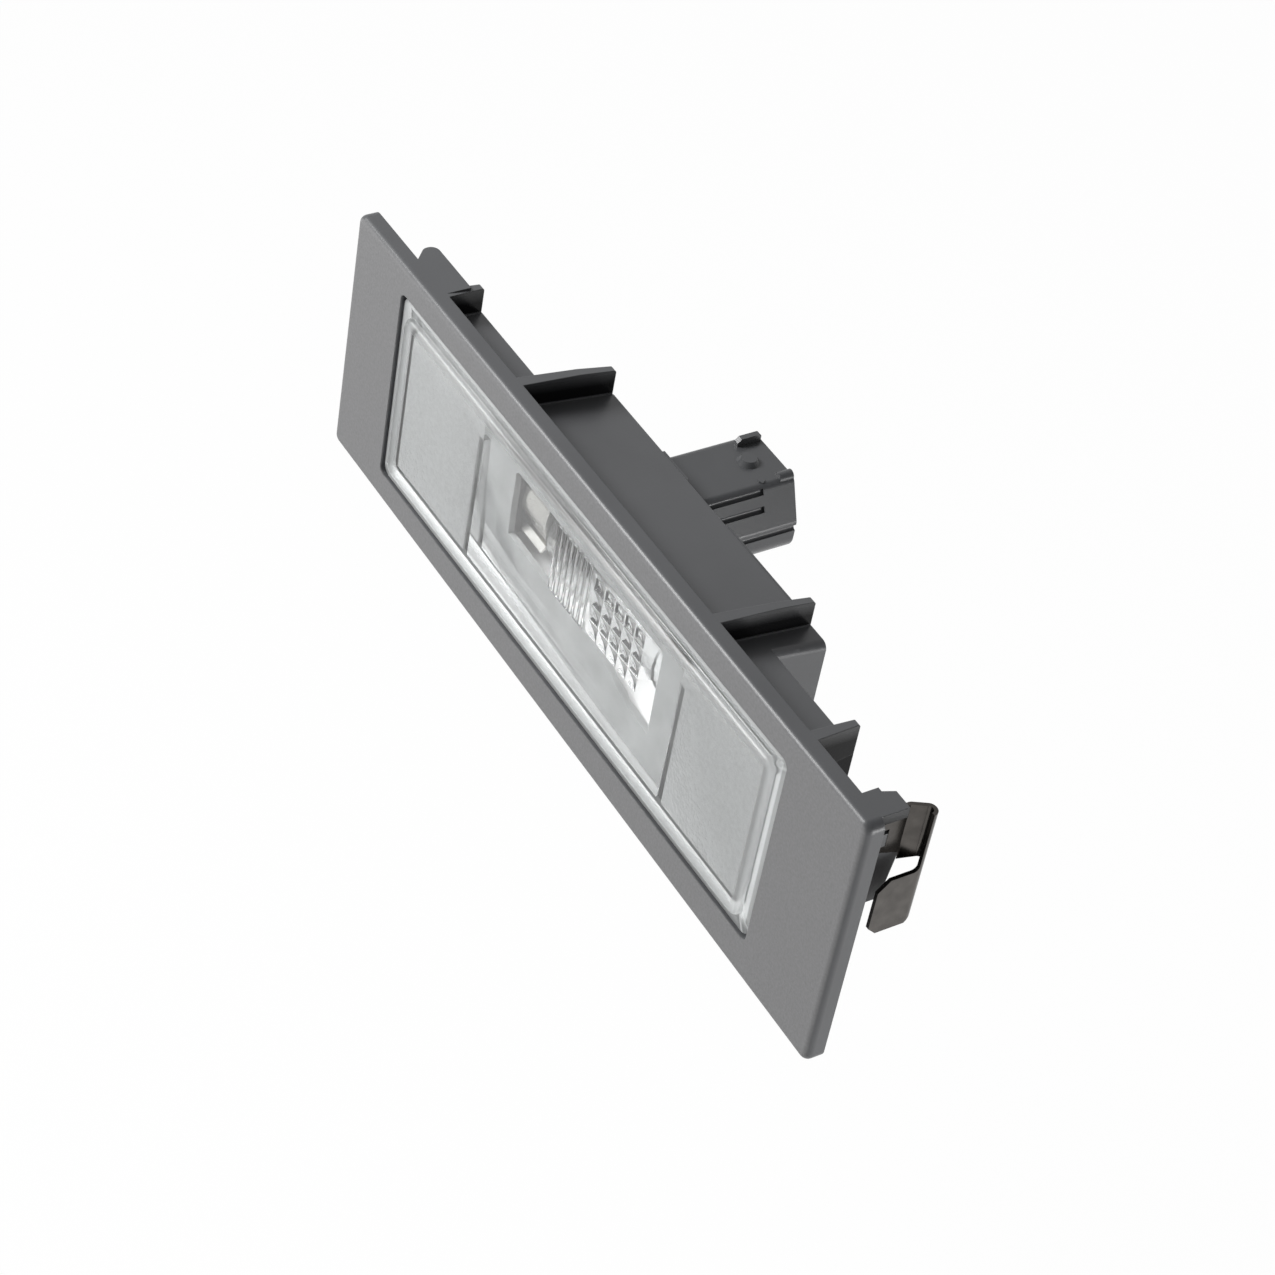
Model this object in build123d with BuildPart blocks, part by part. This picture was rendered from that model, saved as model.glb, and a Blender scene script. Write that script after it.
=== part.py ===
from build123d import *
import os
from math import cos, radians, sin, tan

# Number plate lamp, in millimetres.
# X runs along the lamp towards the clip end, +Y goes into the car, +Z is up.
# The origin is on the plane of the bezel's back, at the lens's mid height.

# Bezel
bezel_length = 94.4
bezel_top = 14.8
bezel_bottom_hook_end = -15.0
bezel_bottom_clip_end = -16.4
bezel_thickness = 2.0
bezel_edge_radius = 0.75
bezel_corner_radius = 1.0

# Aperture and lens seat
aperture_length = 72.6
aperture_height = 23.6
aperture_margin = 9.95
aperture_radius = 0.9
lens_seat_depth = 1.4
lens_ledge = 2.1

# Box behind the bezel
box_height = 23.9
box_draft = 9.5
box_end_draft = 1.0
chamber_draft = 5.0
tray_end_wall = 2.4
tray_floor = 1.3
tray_depth_hook_end = 4.5
tray_depth_clip_end = 5.2
tray_edge_radius = 0.8
bulb_end_room = 0.8
deep_centre = 2.2
deep_depth = 11.35
deep_end_wall = 1.3
deep_edge_radius = 0.8
reflector_step = 0.5

# Upright ribs
rib_thickness = 1.3
rib_tip_thickness = 0.75
rib_root = 0.5
rib_bottom_margin = 1.0
rib_corner_radius = 0.35
rib_set_back = 0.1
tray_rib_drop = 0.5
tray_rib_inset = 4.75
deep_rib_drop = 1.75
deep_rib_knee = 6.9
deep_rib_knee_drop = 0.9
deep_rib_inset_clip_end = 3.0

# Shoulder block and hook
shoulder_depth = 2.8
shoulder_shelf = 1.4
shoulder_reach = 1.95
shoulder_web_foot = 5.0
shoulder_radius = 0.9
panel_gap = 2.6
hook_thickness = 1.8
hook_reach = 6.0
hook_root = 1.0
hook_width = 12.0
hook_lead_in = 1.0

# Clip holder
holder_wall = 1.5
holder_clearance = 0.1
holder_tab_margin = 0.75
holder_tab_depth = 3.0
holder_tab_thickness = 1.2
holder_tab_step = 0.5
holder_tab_step_depth = 1.75
holder_depth = 4.8
holder_shoulder = 7.5
holder_foot = 1.3
holder_foot_set_back = 0.9
holder_web_thickness = 1.2
holder_web_depth = 3.4
holder_web_spacing = 7.5
clip_lug_size = 1.8
clip_lug_height = 0.6
clip_lug_drop = 3.6

# Spring clip
clip_thickness = 0.4
clip_width = 13.75
clip_span = 2.35
clip_depth = 6.3
clip_shoulder = 1.9
clip_bend_radius = 0.6
clip_root = 0.5
clip_top_gap = 0.2
clip_band = 0.8
clip_leaf_height = 6.7
clip_leaf_tip = 1.35
clip_leaf_chamfer = 1.2
clip_leaf_corner = 0.9
clip_leg_height = 7.1
clip_leg_rise = 1.0
clip_leg_front_rise = 1.6
clip_lug_clearance = 0.15

# Lens
lens_gap = 0.2
lens_flange_thickness = 1.0
lens_flange_width = 1.4
lens_proud = 0.5
lens_corner_radius = 1.3
lens_edge_radius = 0.6
lens_skirt_thickness = 0.9
lens_skirt_gap = 0.2
window_rib_thickness = 0.9
window_rib_hook_end = -19.6
window_rib_clip_end = 18.6
window_rib_length = 15.0
window_rib_centre = -1.1
optic_centre = 3.2
flute_start = -4.2
flute_count = 7
flute_pitch = 0.95
flute_width = 0.8
flute_rise = 0.4
flute_length = 8.0
pillow_start = 3.6
pillow_columns = 5
pillow_rows = 4
pillow_pitch = 1.85
pillow_width = 1.75
pillow_rise = 0.45
pillow_slope = 50.0

# Reflector insert
reflector_depth = 0.8
reflector_thickness = 0.7
reflector_gap = 0.2
reflector_radius = 0.8
well_left = -14.0
well_right = 14.0
well_top = 6.6
well_bottom = -1.8
well_dip = 2.6
well_dip_start = 1.5
well_radius = 0.8
shelf_clearance = 0.5
shelf_depth = 9.4
shelf_thickness = 0.7

# Tubular bulb with a cap at each end
bulb_length = 36.0
bulb_height = 2.65
bulb_depth = 5.35
glass_radius = 4.8
glass_wall = 0.5
glass_shoulder = 1.6
neck_length = 3.6
cap_radius = 4.25
cap_length = 6.4
cap_cone = 2.2
cap_wall = 0.3
cap_tip_radius = 1.8
cap_glass_gap = 0.05
filament_length = 11.0
filament_radius = 0.35
lead_radius = 0.25

# Bulb carrier
carrier_thickness = 0.8
carrier_gap = 0.2
carrier_radius = 0.6
lug_thickness = 0.25
lug_overlap = 0.5
first_lug = (-7.65, -3.25)
second_lug = (4.45, 17.5)

# Connector shroud
shroud_width = 9.5
shroud_height = 8.4
shroud_right = 0.0
shroud_top = 7.55
shroud_length = 12.35
shroud_wall = 1.05
shroud_floor = 1.2
shroud_slant = 1.9
shroud_slant_drop = 4.4
shroud_radius = 0.8
shroud_low_radius = 2.0
latch_width = 0.6
latch_length = 2.8
latch_height = 0.85
latch_set_back = 0.15
latch_inset = 0.95
latch_radius = 0.3
bump_radius = 1.2
bump_height = 0.55
bump_slope = 35.0
bump_inset = 3.9
bump_set_back = 3.1
pip_radius = 0.35
pip_height = 0.15
pip_inset = 6.9
pip_set_back = 3.5
key_radius = 0.6
key_length = 1.6
groove_radius = 0.35
groove_drop = 0.6
groove_end_gap = 3.7
low_groove_drop = 5.1

# Contacts
strip_thickness = 0.35
strip_width = 2.4
clamp_length = 4.0
clamp_clearance = 0.05
clamp_wrap = 50.0
clamp_lip = 1.0
slot_length = 2.6
slot_width = 1.1
slot_spacing = 2.1
blade_width = 1.0
blade_thickness = 0.6
blade_length = 8.6
blade_spacing = 3.2
blade_clearance = 0.05

# Places worked out from the sizes above
bezel_left = -bezel_length / 2
bezel_right = bezel_length / 2
aperture_left = bezel_left + aperture_margin
aperture_right = aperture_left + aperture_length
aperture_centre = (aperture_left + aperture_right) / 2
seat_y = lens_seat_depth - bezel_thickness
cavity_left = aperture_left + lens_ledge
cavity_right = aperture_right - lens_ledge
cavity_half_height = aperture_height / 2 - lens_ledge
tray_left = cavity_left - tray_end_wall
tray_right = cavity_right + tray_end_wall
deep_length = bulb_length + 2 * (bulb_end_room + deep_end_wall)
deep_left = deep_centre - deep_length / 2
deep_right = deep_centre + deep_length / 2
draft_slope = tan(radians(box_draft))
end_slope = tan(radians(box_end_draft))
chamber_slope = tan(radians(chamber_draft))
lens_back = seat_y
flange_front = lens_back - lens_flange_thickness
lens_front = -bezel_thickness - lens_proud
lens_length = aperture_length - 2 * lens_gap
lens_height = aperture_height - 2 * lens_gap
plateau_length = lens_length - 2 * lens_flange_width
plateau_height = lens_height - 2 * lens_flange_width
reflector_front = lens_back + reflector_depth
reflector_back = reflector_front + reflector_thickness
step_half_height = cavity_half_height - reflector_step
carrier_front = deep_depth - carrier_thickness
shroud_left = shroud_right - shroud_width
shroud_bottom = shroud_top - shroud_height
shroud_middle = shroud_top - shroud_height / 2
shroud_mouth = deep_depth + shroud_length
bulb_axis = Axis((deep_centre, bulb_depth, bulb_height), (1, 0, 0))
holder_face = bezel_right - clip_span - holder_clearance
blade_centre = (shroud_left + shroud_right) / 2


def square_to_y(depth):
    """Plane square to Y at this depth, seen from the front: X to the right, Z up."""
    return Plane(origin=(0, depth, 0), x_dir=(1, 0, 0), z_dir=(0, -1, 0))


def drafted_block(left, right, half_height, front, back, slope, radius):
    """Block that narrows towards the back: by this slope above and below, by the end draft at its ends."""
    side_shift = slope * (back - front)
    end_shift = end_slope * (back - front)
    with BuildSketch(square_to_y(front)) as front_face:
        with Locations(((left + right) / 2, 0)):
            RectangleRounded(right - left, 2 * half_height, radius)
    with BuildSketch(square_to_y(back)) as back_face:
        with Locations(((left + right) / 2, 0)):
            RectangleRounded(right - left - 2 * end_shift, 2 * (half_height - side_shift), radius)
    loft([front_face.sketch, back_face.sketch])


def stepped_block(left, right, deep_from, deep_to, half_height, front, depths, slope, radius):
    """Drafted block with a deep middle: depths at the hook end, in the middle and at the clip end."""
    hook_end, middle, clip_end = depths
    step_left = deep_from + end_slope * hook_end
    step_right = deep_to - end_slope * clip_end
    with BuildPart() as block:
        drafted_block(left, right, half_height, front, middle, slope, tray_edge_radius)
        with BuildSketch(Plane.XY.offset(-half_height)):
            with BuildLine():
                Polyline(
                    (left, front),
                    (left, hook_end),
                    (step_left, hook_end),
                    (deep_from + end_slope * middle, middle),
                    (deep_to - end_slope * middle, middle),
                    (step_right, clip_end),
                    (right, clip_end),
                    (right, front),
                    close=True,
                )
            make_face()
        extrude(amount=2 * half_height, mode=Mode.INTERSECT)
        deep_corners = [edge for edge in block.edges() if edge.center().Y > max(hook_end, clip_end)
                        and abs((edge % 0.5).Y) > cos(radians(2 * box_draft))]
        fillet(deep_corners, radius)
    return block.part


def rib(left, corner_points, rear, side):
    """Upright rib behind the bezel, thinner to the rear: its edge runs through the points, above or below."""
    root = side * (box_height / 2 - draft_slope * rear - rib_root)
    outer = corner_points[0][1]
    with BuildPart() as blade:
        with BuildSketch(Plane.YZ.offset(left)) as profile:
            with BuildLine():
                Polyline((0, root), *corner_points, (rear, root), close=True)
            make_face()
            rear_corner = profile.vertices().sort_by_distance(corner_points[-1])[0]
            fillet(rear_corner, rib_corner_radius)
        extrude(amount=rib_thickness)
        with BuildSketch(Plane.XY.offset(min(root, outer))):
            with BuildLine():
                Polyline(
                    (left, 0),
                    (left + rib_thickness, 0),
                    (left + rib_tip_thickness, rear),
                    (left, rear),
                    close=True,
                )
            make_face()
        extrude(amount=abs(outer - root), mode=Mode.INTERSECT)
    return blade.part


os.makedirs("parts", exist_ok=True)

# Outside and inside of the box behind the bezel
box_outside = stepped_block(tray_left, tray_right, deep_left, deep_right, box_height / 2, 0,
                            (tray_depth_hook_end, deep_depth, tray_depth_clip_end),
                            draft_slope, deep_edge_radius)
well_radius_inside = deep_edge_radius / 2
box_inside = stepped_block(cavity_left + reflector_step, cavity_right - reflector_step,
                           deep_left + deep_end_wall, deep_right - deep_end_wall,
                           step_half_height, reflector_back,
                           (tray_depth_hook_end - tray_floor, deep_depth, tray_depth_clip_end - tray_floor),
                           chamber_slope, well_radius_inside)

# Housing: bezel, tapered box, ribs, shoulder, hook and clip holder in one moulding
with BuildPart() as housing:
    # Bezel plate, rounded round its front face
    with BuildSketch(square_to_y(0)) as bezel_outline:
        with BuildLine():
            Polyline(
                (bezel_left, bezel_bottom_hook_end),
                (bezel_right, bezel_bottom_clip_end),
                (bezel_right, bezel_top),
                (bezel_left, bezel_top),
                close=True,
            )
        make_face()
        fillet(bezel_outline.vertices(), bezel_corner_radius)
    extrude(amount=bezel_thickness)
    fillet(faces().sort_by(Axis.Y)[0].edges(), bezel_edge_radius)

    # Two shallow trays and the deep part between them
    add(box_outside)

    # Upright ribs, above and below
    lower_edge = bezel_bottom_hook_end + rib_bottom_margin
    tray_ribs = (
        (tray_left + tray_rib_inset, tray_depth_hook_end - rib_set_back),
        (tray_right - rib_tip_thickness, tray_depth_clip_end - rib_set_back),
    )
    for rib_left, rear in tray_ribs:
        for side, edge in ((1, bezel_top), (-1, lower_edge)):
            add(rib(rib_left, ((0, edge), (rear, edge - side * tray_rib_drop)), rear, side))
    deep_rear = deep_depth - rib_set_back
    for rib_left in (deep_left, deep_right - deep_rib_inset_clip_end - rib_tip_thickness):
        for side, edge in ((1, bezel_top), (-1, lower_edge)):
            knee = (deep_rib_knee, edge - side * deep_rib_knee_drop)
            add(rib(rib_left, ((0, edge), knee, (deep_rear, edge - side * deep_rib_drop)), deep_rear, side))

    # Shoulder shelf beside the first rib, with its end web
    shoulder_left = tray_left - shoulder_reach
    shoulder_right = tray_left + tray_rib_inset + rib_tip_thickness
    with BuildSketch(Plane.XY.offset(bezel_top - shoulder_shelf)) as shelf_outline:
        with BuildLine():
            Polyline(
                (shoulder_right, 0),
                (shoulder_right, shoulder_depth),
                (shoulder_left, shoulder_depth),
                (shoulder_left, shoulder_depth / 2),
                (shoulder_left + shoulder_shelf, 0),
                close=True,
            )
        make_face()
        shelf_corners = shelf_outline.vertices().group_by(Axis.X)[0]
        fillet(shelf_corners, shoulder_radius)
    extrude(amount=shoulder_shelf)
    with BuildSketch(Plane.XY.offset(shoulder_web_foot)):
        with BuildLine():
            Polyline(
                (shoulder_left + shoulder_shelf, 0),
                (shoulder_left + 2 * shoulder_shelf, 0),
                (shoulder_left + 2 * shoulder_shelf, shoulder_depth),
                (shoulder_left + shoulder_shelf, shoulder_depth),
                close=True,
            )
        make_face()
    extrude(amount=bezel_top - shoulder_shelf - shoulder_web_foot)

    # Hook that reaches behind the panel at the far end
    with BuildSketch(Plane.XY.offset(-hook_width / 2)):
        with BuildLine():
            Polyline(
                (tray_left + hook_root, panel_gap),
                (tray_left - hook_reach, panel_gap),
                (tray_left - hook_reach, panel_gap + hook_thickness - hook_lead_in),
                (tray_left - hook_reach + 2 * hook_lead_in, panel_gap + hook_thickness),
                (tray_left + hook_root, panel_gap + hook_thickness),
                close=True,
            )
        make_face()
    extrude(amount=hook_width)

    # Clip holder: wall, top tab and the webs that tie it to the box
    with BuildSketch(Plane.YZ.offset(holder_face - holder_wall)):
        with BuildLine():
            Polyline(
                (0, bezel_top),
                (holder_tab_step_depth, bezel_top),
                (holder_tab_step_depth, bezel_top - holder_tab_thickness),
                (holder_tab_depth, bezel_top - 2 * holder_tab_thickness),
                (holder_tab_depth, holder_shoulder + holder_tab_step),
                (holder_depth, holder_shoulder),
                (holder_depth - holder_foot_set_back, holder_foot),
                (0, holder_foot),
                close=True,
            )
        make_face()
    extrude(amount=holder_wall)
    tab_right = bezel_right - holder_tab_margin
    with BuildSketch(Plane.XY.offset(bezel_top - holder_tab_thickness)):
        with BuildLine():
            Polyline(
                (holder_face - holder_wall, 0),
                (holder_face - holder_wall, holder_tab_step_depth),
                (holder_face - holder_wall + holder_tab_step, holder_tab_step_depth),
                (holder_face - holder_wall + 2 * holder_tab_step, holder_tab_depth),
                (tab_right, holder_tab_depth),
                (tab_right, 0),
                close=True,
            )
        make_face()
    extrude(amount=holder_tab_thickness)
    for level in (holder_foot, holder_foot + holder_web_spacing):
        with BuildSketch(Plane.XY.offset(level)):
            with BuildLine():
                Polyline(
                    (tray_right - tray_end_wall / 2, 0),
                    (holder_face, 0),
                    (holder_face, holder_web_depth),
                    (tray_right - tray_end_wall / 2, holder_web_depth),
                    close=True,
                )
            make_face()
        extrude(amount=holder_web_thickness)
    lug_height_z = bezel_top - holder_tab_thickness - clip_lug_drop
    with BuildSketch(Plane.YZ.offset(holder_face)):
        with Locations((holder_tab_depth / 2, lug_height_z)):
            Rectangle(clip_lug_size, clip_lug_size)
    extrude(amount=clip_lug_height, taper=box_draft)

    # Lens seat, light chamber and deep well
    with BuildSketch(square_to_y(seat_y)):
        with Locations((aperture_centre, 0)):
            RectangleRounded(aperture_length, aperture_height, aperture_radius)
    extrude(amount=lens_seat_depth, mode=Mode.SUBTRACT)
    with BuildSketch(square_to_y(reflector_back)):
        with Locations((aperture_centre, 0)):
            RectangleRounded(cavity_right - cavity_left, 2 * cavity_half_height, tray_edge_radius)
    extrude(amount=reflector_back - seat_y, mode=Mode.SUBTRACT)
    add(box_inside, mode=Mode.SUBTRACT)
housing.part.label = "housing"
export_step(housing.part, "parts/housing.step")

# Lens: recessed flange, raised plateau, locating skirt, two upright ribs and the bulb optics
with BuildPart() as lens:
    with BuildSketch(square_to_y(lens_back)):
        with Locations((aperture_centre, 0)):
            RectangleRounded(lens_length, lens_height, lens_corner_radius)
    extrude(amount=lens_flange_thickness)
    with BuildSketch(square_to_y(flange_front)):
        with Locations((aperture_centre, 0)):
            RectangleRounded(plateau_length, plateau_height, lens_corner_radius)
    extrude(amount=flange_front - lens_front)
    fillet(faces().sort_by(Axis.Y)[0].edges(), lens_edge_radius)
    skirt_length = cavity_right - cavity_left - 2 * lens_skirt_gap
    skirt_height = 2 * cavity_half_height - 2 * lens_skirt_gap
    with BuildSketch(square_to_y(reflector_front)):
        with Locations((aperture_centre, 0)):
            RectangleRounded(skirt_length, skirt_height, tray_edge_radius)
            Rectangle(skirt_length - 2 * lens_skirt_thickness, skirt_height - 2 * lens_skirt_thickness,
                      mode=Mode.SUBTRACT)
        for rib_x in (window_rib_hook_end, window_rib_clip_end):
            with Locations((rib_x, window_rib_centre)):
                Rectangle(window_rib_thickness, window_rib_length)
    extrude(amount=reflector_front - lens_back)
    # Flutes, upright ridges on the lens's back
    with BuildSketch(Plane.XY.offset(optic_centre - flute_length / 2)):
        for step in range(flute_count):
            flute_x = flute_start + step * flute_pitch
            with BuildLine():
                Line((flute_x - flute_width / 2, lens_back), (flute_x + flute_width / 2, lens_back))
                ThreePointArc((flute_x + flute_width / 2, lens_back), (flute_x, lens_back + flute_rise),
                              (flute_x - flute_width / 2, lens_back))
            make_face()
    extrude(amount=flute_length)
    # Pillows, low pyramids on the lens's back
    pillow_x = pillow_start + (pillow_columns - 1) * pillow_pitch / 2
    with BuildSketch(square_to_y(lens_back)):
        with Locations((pillow_x, optic_centre)):
            with GridLocations(pillow_pitch, pillow_pitch, pillow_columns, pillow_rows):
                Rectangle(pillow_width, pillow_width)
    extrude(amount=-pillow_rise, taper=pillow_slope)
lens.part.label = "lens"
export_step(lens.part, "parts/lens.step")

# Reflector insert: pale plate with the bulb opening and a shelf below the bulb
with BuildPart() as reflector:
    with BuildSketch(square_to_y(reflector_back)) as plate:
        with Locations((aperture_centre, 0)):
            RectangleRounded(cavity_right - cavity_left - 2 * reflector_gap,
                             2 * (cavity_half_height - reflector_gap), reflector_radius)
    extrude(amount=reflector_thickness)
    with BuildSketch(square_to_y(reflector_back)) as well:
        with BuildLine():
            Polyline(
                (well_left, well_bottom),
                (well_left, well_top),
                (well_right, well_top),
                (well_right, well_bottom - well_dip),
            )
            Spline(
                (well_right, well_bottom - well_dip),
                (well_dip_start, well_bottom),
                tangents=((-1, 0), (-1, 0)),
            )
            Line((well_dip_start, well_bottom), (well_left, well_bottom))
        make_face()
        fillet(well.vertices().group_by(Axis.Y)[-1], well_radius)
    extrude(amount=reflector_thickness, mode=Mode.SUBTRACT)
    shelf_left = deep_left + deep_end_wall + shelf_clearance
    shelf_right = deep_right - deep_end_wall - shelf_clearance
    shelf_top = well_bottom - well_dip
    with BuildSketch(Plane.YZ.offset(shelf_left)):
        with BuildLine():
            Polyline(
                (reflector_back, shelf_top),
                (shelf_depth, shelf_top + shelf_thickness),
                (shelf_depth, shelf_top),
                (reflector_back, shelf_top - shelf_thickness),
                close=True,
            )
        make_face()
    extrude(amount=shelf_right - shelf_left)
reflector.part.label = "reflector"
export_step(reflector.part, "parts/reflector.step")

# Bulb carrier: rear cover of the deep part, with its edge lugs and the connector shroud
with BuildPart() as bulb_carrier:
    cover_half_height = step_half_height - chamber_slope * (deep_depth - reflector_back) - carrier_gap
    cover_end_loss = deep_end_wall + end_slope * (deep_depth - reflector_back) + carrier_gap
    cover_left = deep_left + cover_end_loss
    cover_right = deep_right - cover_end_loss
    with BuildSketch(square_to_y(deep_depth)):
        with Locations(((cover_left + cover_right) / 2, 0)):
            RectangleRounded(cover_right - cover_left, 2 * cover_half_height, carrier_radius)
    extrude(amount=carrier_thickness)
    # Lugs that stop the cover on the box's rear edge
    lug_outer = box_height / 2 - draft_slope * deep_depth
    lug_height = lug_outer - cover_half_height + lug_overlap
    with BuildSketch(square_to_y(deep_depth + lug_thickness)):
        for low, high in (first_lug, second_lug):
            for side in (-1, 1):
                with Locations(((low + high) / 2, side * (lug_outer - lug_height / 2))):
                    Rectangle(high - low, lug_height)
    extrude(amount=lug_thickness)
    # Shroud with one slanted side
    with BuildSketch(square_to_y(shroud_mouth)) as shroud_outline:
        with BuildLine():
            Polyline(
                (shroud_left, shroud_bottom),
                (shroud_right, shroud_bottom),
                (shroud_right, shroud_top - shroud_slant_drop),
                (shroud_right - shroud_slant, shroud_top),
                (shroud_left, shroud_top),
                close=True,
            )
        make_face()
        low_corner = (shroud_right, shroud_bottom)
        fillet(shroud_outline.vertices().sort_by_distance(low_corner)[1:], shroud_radius)
        fillet(shroud_outline.vertices().sort_by_distance(low_corner)[0], shroud_low_radius)
    extrude(amount=shroud_length)
    # Latch rib, snap bump, pip and key rib on the shroud's top
    latch_left = shroud_left + latch_inset
    latch_rear = shroud_mouth - latch_set_back
    with BuildSketch(Plane.YZ.offset(latch_left)) as latch_profile:
        with BuildLine():
            Polyline(
                (latch_rear - latch_length, shroud_top - shroud_wall / 2),
                (latch_rear - latch_length, shroud_top + latch_height / 2),
                (latch_rear - latch_length + latch_height / 2, shroud_top + latch_height),
                (latch_rear, shroud_top + latch_height),
                (latch_rear, shroud_top - shroud_wall / 2),
                close=True,
            )
        make_face()
        fillet(latch_profile.vertices().sort_by_distance((latch_rear, shroud_top + latch_height))[0],
               latch_radius)
    extrude(amount=latch_width)
    with BuildSketch(Plane.XY.offset(shroud_top)):
        with Locations((shroud_left + bump_inset, shroud_mouth - bump_set_back)):
            Circle(bump_radius)
    extrude(amount=bump_height, taper=bump_slope)
    with BuildSketch(Plane.XY.offset(shroud_top)):
        with Locations((shroud_left + pip_inset, shroud_mouth - pip_set_back)):
            Circle(pip_radius)
    extrude(amount=pip_height)
    key_x = shroud_right - shroud_slant - key_radius
    with BuildSketch(square_to_y(shroud_mouth)):
        with Locations((key_x, shroud_top - key_radius / 4)):
            Circle(key_radius)
    extrude(amount=key_length)
    # Grooves along the slanted side, the lowest one right up to the mouth
    groove_z = (shroud_top - groove_drop, shroud_middle + shroud_slant)
    for start, levels in ((shroud_mouth - groove_end_gap, groove_z),
                          (shroud_mouth, (shroud_top - low_groove_drop,))):
        with BuildSketch(square_to_y(start)):
            for level in levels:
                slant_share = min(1, (shroud_top - level) / shroud_slant_drop)
                with Locations((shroud_right - shroud_slant * (1 - slant_share), level)):
                    Circle(groove_radius)
        extrude(amount=start - deep_depth, mode=Mode.SUBTRACT)
    # Socket
    with BuildSketch(square_to_y(shroud_mouth)):
        add(shroud_outline.sketch)
        offset(amount=-shroud_wall)
    extrude(amount=shroud_length - shroud_floor, mode=Mode.SUBTRACT)
    # Slots for the two blades
    with BuildSketch(square_to_y(deep_depth + shroud_floor + lug_thickness)):
        for side in (-1, 1):
            with Locations((blade_centre + side * blade_spacing / 2, shroud_middle)):
                Rectangle(blade_thickness + 2 * blade_clearance, blade_width + 2 * blade_clearance)
    extrude(amount=carrier_thickness + shroud_floor + lug_thickness, mode=Mode.SUBTRACT)
bulb_carrier.part.label = "bulb_carrier"
export_step(bulb_carrier.part, "parts/bulb_carrier.step")


def contact(clamp_left, blade_x):
    """Stamped contact: an open clamp round one cap, a strip along the cover and a blade in the socket."""
    clamp_radius = cap_radius + clamp_clearance + strip_thickness / 2
    back_y = carrier_front - strip_thickness / 2
    wrap = radians(clamp_wrap)
    rear_y = bulb_depth + clamp_radius * cos(wrap)
    front_y = bulb_depth - clamp_radius * cos(wrap)
    reach = clamp_radius * sin(wrap)
    with BuildPart() as piece:
        with BuildSketch(Plane.YZ.offset(clamp_left)) as clamp_profile:
            for side in (-1, 1):
                with BuildLine() as arm:
                    Polyline(
                        (back_y, bulb_height),
                        (back_y, bulb_height + side * strip_width / 2),
                        (rear_y, bulb_height + side * reach),
                    )
                    CenterArc((bulb_depth, bulb_height), clamp_radius, side * clamp_wrap,
                              side * (180 - 2 * clamp_wrap))
                    Polyline(
                        (front_y, bulb_height + side * reach),
                        (front_y - clamp_lip / 2, bulb_height + side * (reach - strip_thickness / 2)),
                        (front_y - clamp_lip, bulb_height + side * (reach + strip_thickness)),
                    )
                trace(arm.line, line_width=strip_thickness)
        extrude(amount=clamp_length)
        clamp_middle = clamp_left + clamp_length / 2
        with BuildSketch(Plane.XY.offset(bulb_height + 2 * cap_radius)):
            with Locations((clamp_middle - slot_spacing / 2, bulb_depth),
                           (clamp_middle + slot_spacing / 2, bulb_depth)):
                SlotOverall(slot_length, slot_width, rotation=90)
        extrude(amount=-4 * cap_radius, mode=Mode.SUBTRACT)
        low = min(clamp_middle, blade_x - blade_thickness / 2)
        high = max(clamp_middle, blade_x + blade_thickness / 2)
        strip_top = shroud_middle + blade_width / 2
        with BuildSketch(square_to_y(carrier_front)):
            with Locations(((low + high) / 2, strip_top - strip_width / 2)):
                Rectangle(high - low, strip_width)
        extrude(amount=strip_thickness)
        with BuildSketch(square_to_y(carrier_front)):
            with Locations((blade_x, shroud_middle)):
                Rectangle(blade_thickness, blade_width)
        extrude(amount=-blade_length)
        chamfer(faces().sort_by(Axis.Y)[-1].edges(), blade_thickness / 4)
    return piece


# Contacts, one for each cap of the bulb
bulb_left = deep_centre - bulb_length / 2
bulb_right = deep_centre + bulb_length / 2
cap_middle = (cap_length + cap_cone) / 2
contact_left = contact(bulb_left + cap_middle - clamp_length / 2, blade_centre - blade_spacing / 2)
contact_left.part.label = "contact_left"
export_step(contact_left.part, "parts/contact_left.step")
contact_right = contact(bulb_right - cap_middle - clamp_length / 2, blade_centre + blade_spacing / 2)
contact_right.part.label = "contact_right"
export_step(contact_right.part, "parts/contact_right.step")

# Bulb glass: a tube with a sloping shoulder and a closed neck at each end
bulb_plane = Plane(origin=(deep_centre, bulb_depth, bulb_height), x_dir=(1, 0, 0), z_dir=(0, 0, 1))
neck_radius = cap_radius - cap_wall - cap_glass_gap
body_half = bulb_length / 2 - cap_length
shoulder_half = body_half - glass_shoulder
neck_half = body_half + neck_length
with BuildPart() as bulb_glass:
    with BuildSketch(bulb_plane):
        with BuildLine():
            Polyline(
                (-neck_half, lead_radius),
                (-neck_half, neck_radius),
                (-body_half, neck_radius),
                (-shoulder_half, glass_radius),
                (shoulder_half, glass_radius),
                (body_half, neck_radius),
                (neck_half, neck_radius),
                (neck_half, lead_radius),
                (neck_half - glass_wall, lead_radius),
                (neck_half - glass_wall, neck_radius - glass_wall),
                (body_half - glass_wall / 2, neck_radius - glass_wall),
                (shoulder_half, glass_radius - glass_wall),
                (-shoulder_half, glass_radius - glass_wall),
                (-body_half + glass_wall / 2, neck_radius - glass_wall),
                (-neck_half + glass_wall, neck_radius - glass_wall),
                (-neck_half + glass_wall, lead_radius),
                close=True,
            )
        make_face()
    revolve(axis=bulb_axis)
bulb_glass.part.label = "bulb_glass"
export_step(bulb_glass.part, "parts/bulb_glass.step")


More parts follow.
